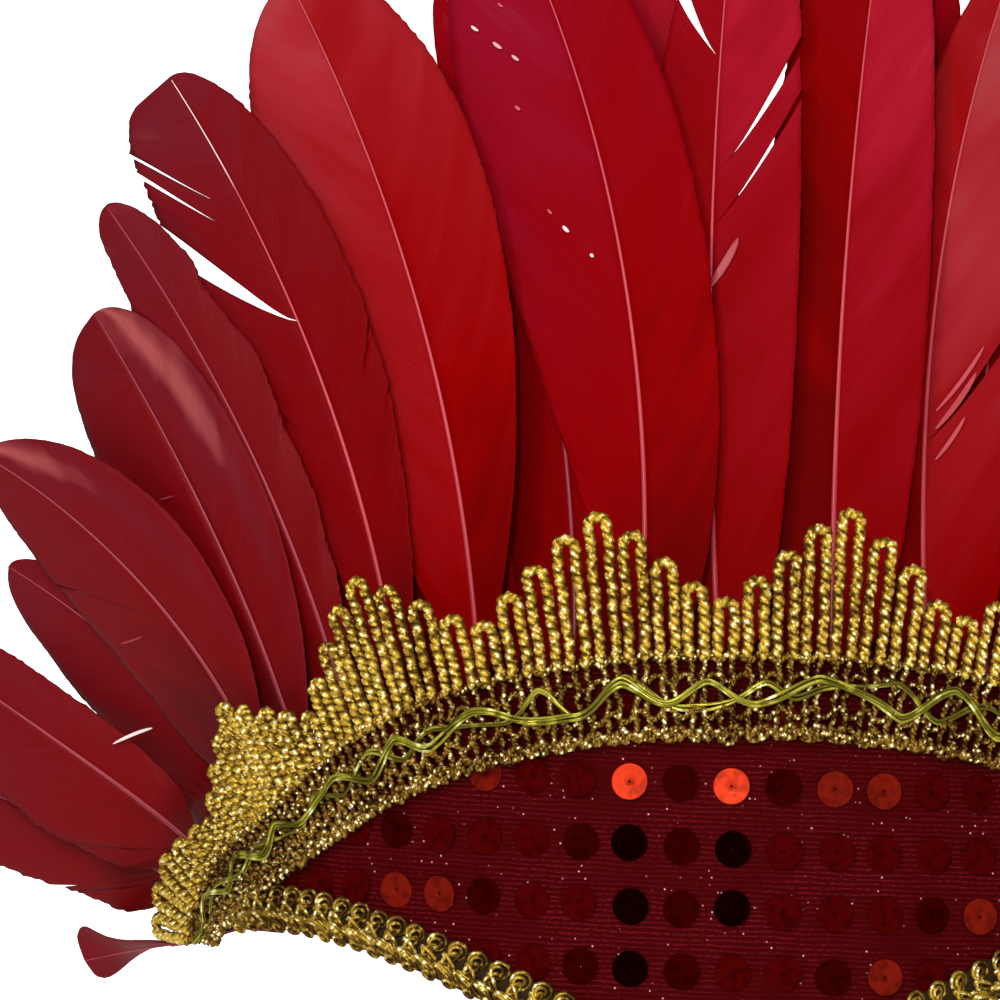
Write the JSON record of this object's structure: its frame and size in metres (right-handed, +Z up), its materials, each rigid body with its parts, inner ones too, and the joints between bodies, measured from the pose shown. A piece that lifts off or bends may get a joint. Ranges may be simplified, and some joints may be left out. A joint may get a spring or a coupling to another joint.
{
  "type": "carnival feather headdress",
  "caption": "Red feather headdress with a sequined burgundy forehead panel, gold scalloped lace, gold edge braid and an elastic strap.",
  "frame": {"origin": "middle of the head opening, level with the forehead panel's middle", "axes": "+Z up, the wearer looks along -Y, +X on the right of somebody who faces the headdress"},
  "size_m": [0.2783, 0.201, 0.2005],
  "materials": {
    "panel_fabric": "burgundy with a metallic thread",
    "gold_lace": "metallic gold cord",
    "gold_braid": "metallic gold cord",
    "elastic": "woven",
    "red_feather": "dyed feather",
    "deep_red_feather": "dyed feather"
  },
  "bodies": {
    "root": {"forehead_panel": "panel_fabric", "crown_lace": "gold_lace", "edge_braid": "gold_braid", "head_strap": "elastic", "feather_01": "red_feather", "feather_02": "red_feather", "feather_03": "red_feather", "feather_04": "deep_red_feather", "feather_05": "red_feather", "feather_06": "red_feather", "feather_07": "deep_red_feather", "feather_08": "red_feather", "feather_09": "red_feather", "feather_10": "deep_red_feather", "feather_11": "red_feather", "feather_12": "deep_red_feather", "feather_13": "red_feather", "feather_14": "deep_red_feather", "feather_15": "red_feather", "feather_16": "deep_red_feather", "feather_17": "red_feather", "feather_18": "deep_red_feather", "feather_19": "red_feather", "feather_20": "red_feather", "feather_21": "deep_red_feather", "feather_22": "red_feather", "feather_23": "red_feather", "feather_24": "deep_red_feather", "feather_25": "red_feather", "feather_26": "red_feather", "feather_27": "red_feather", "feather_28": "red_feather", "feather_29": "red_feather", "feather_30": "red_feather"}
  },
  "joints": []
}
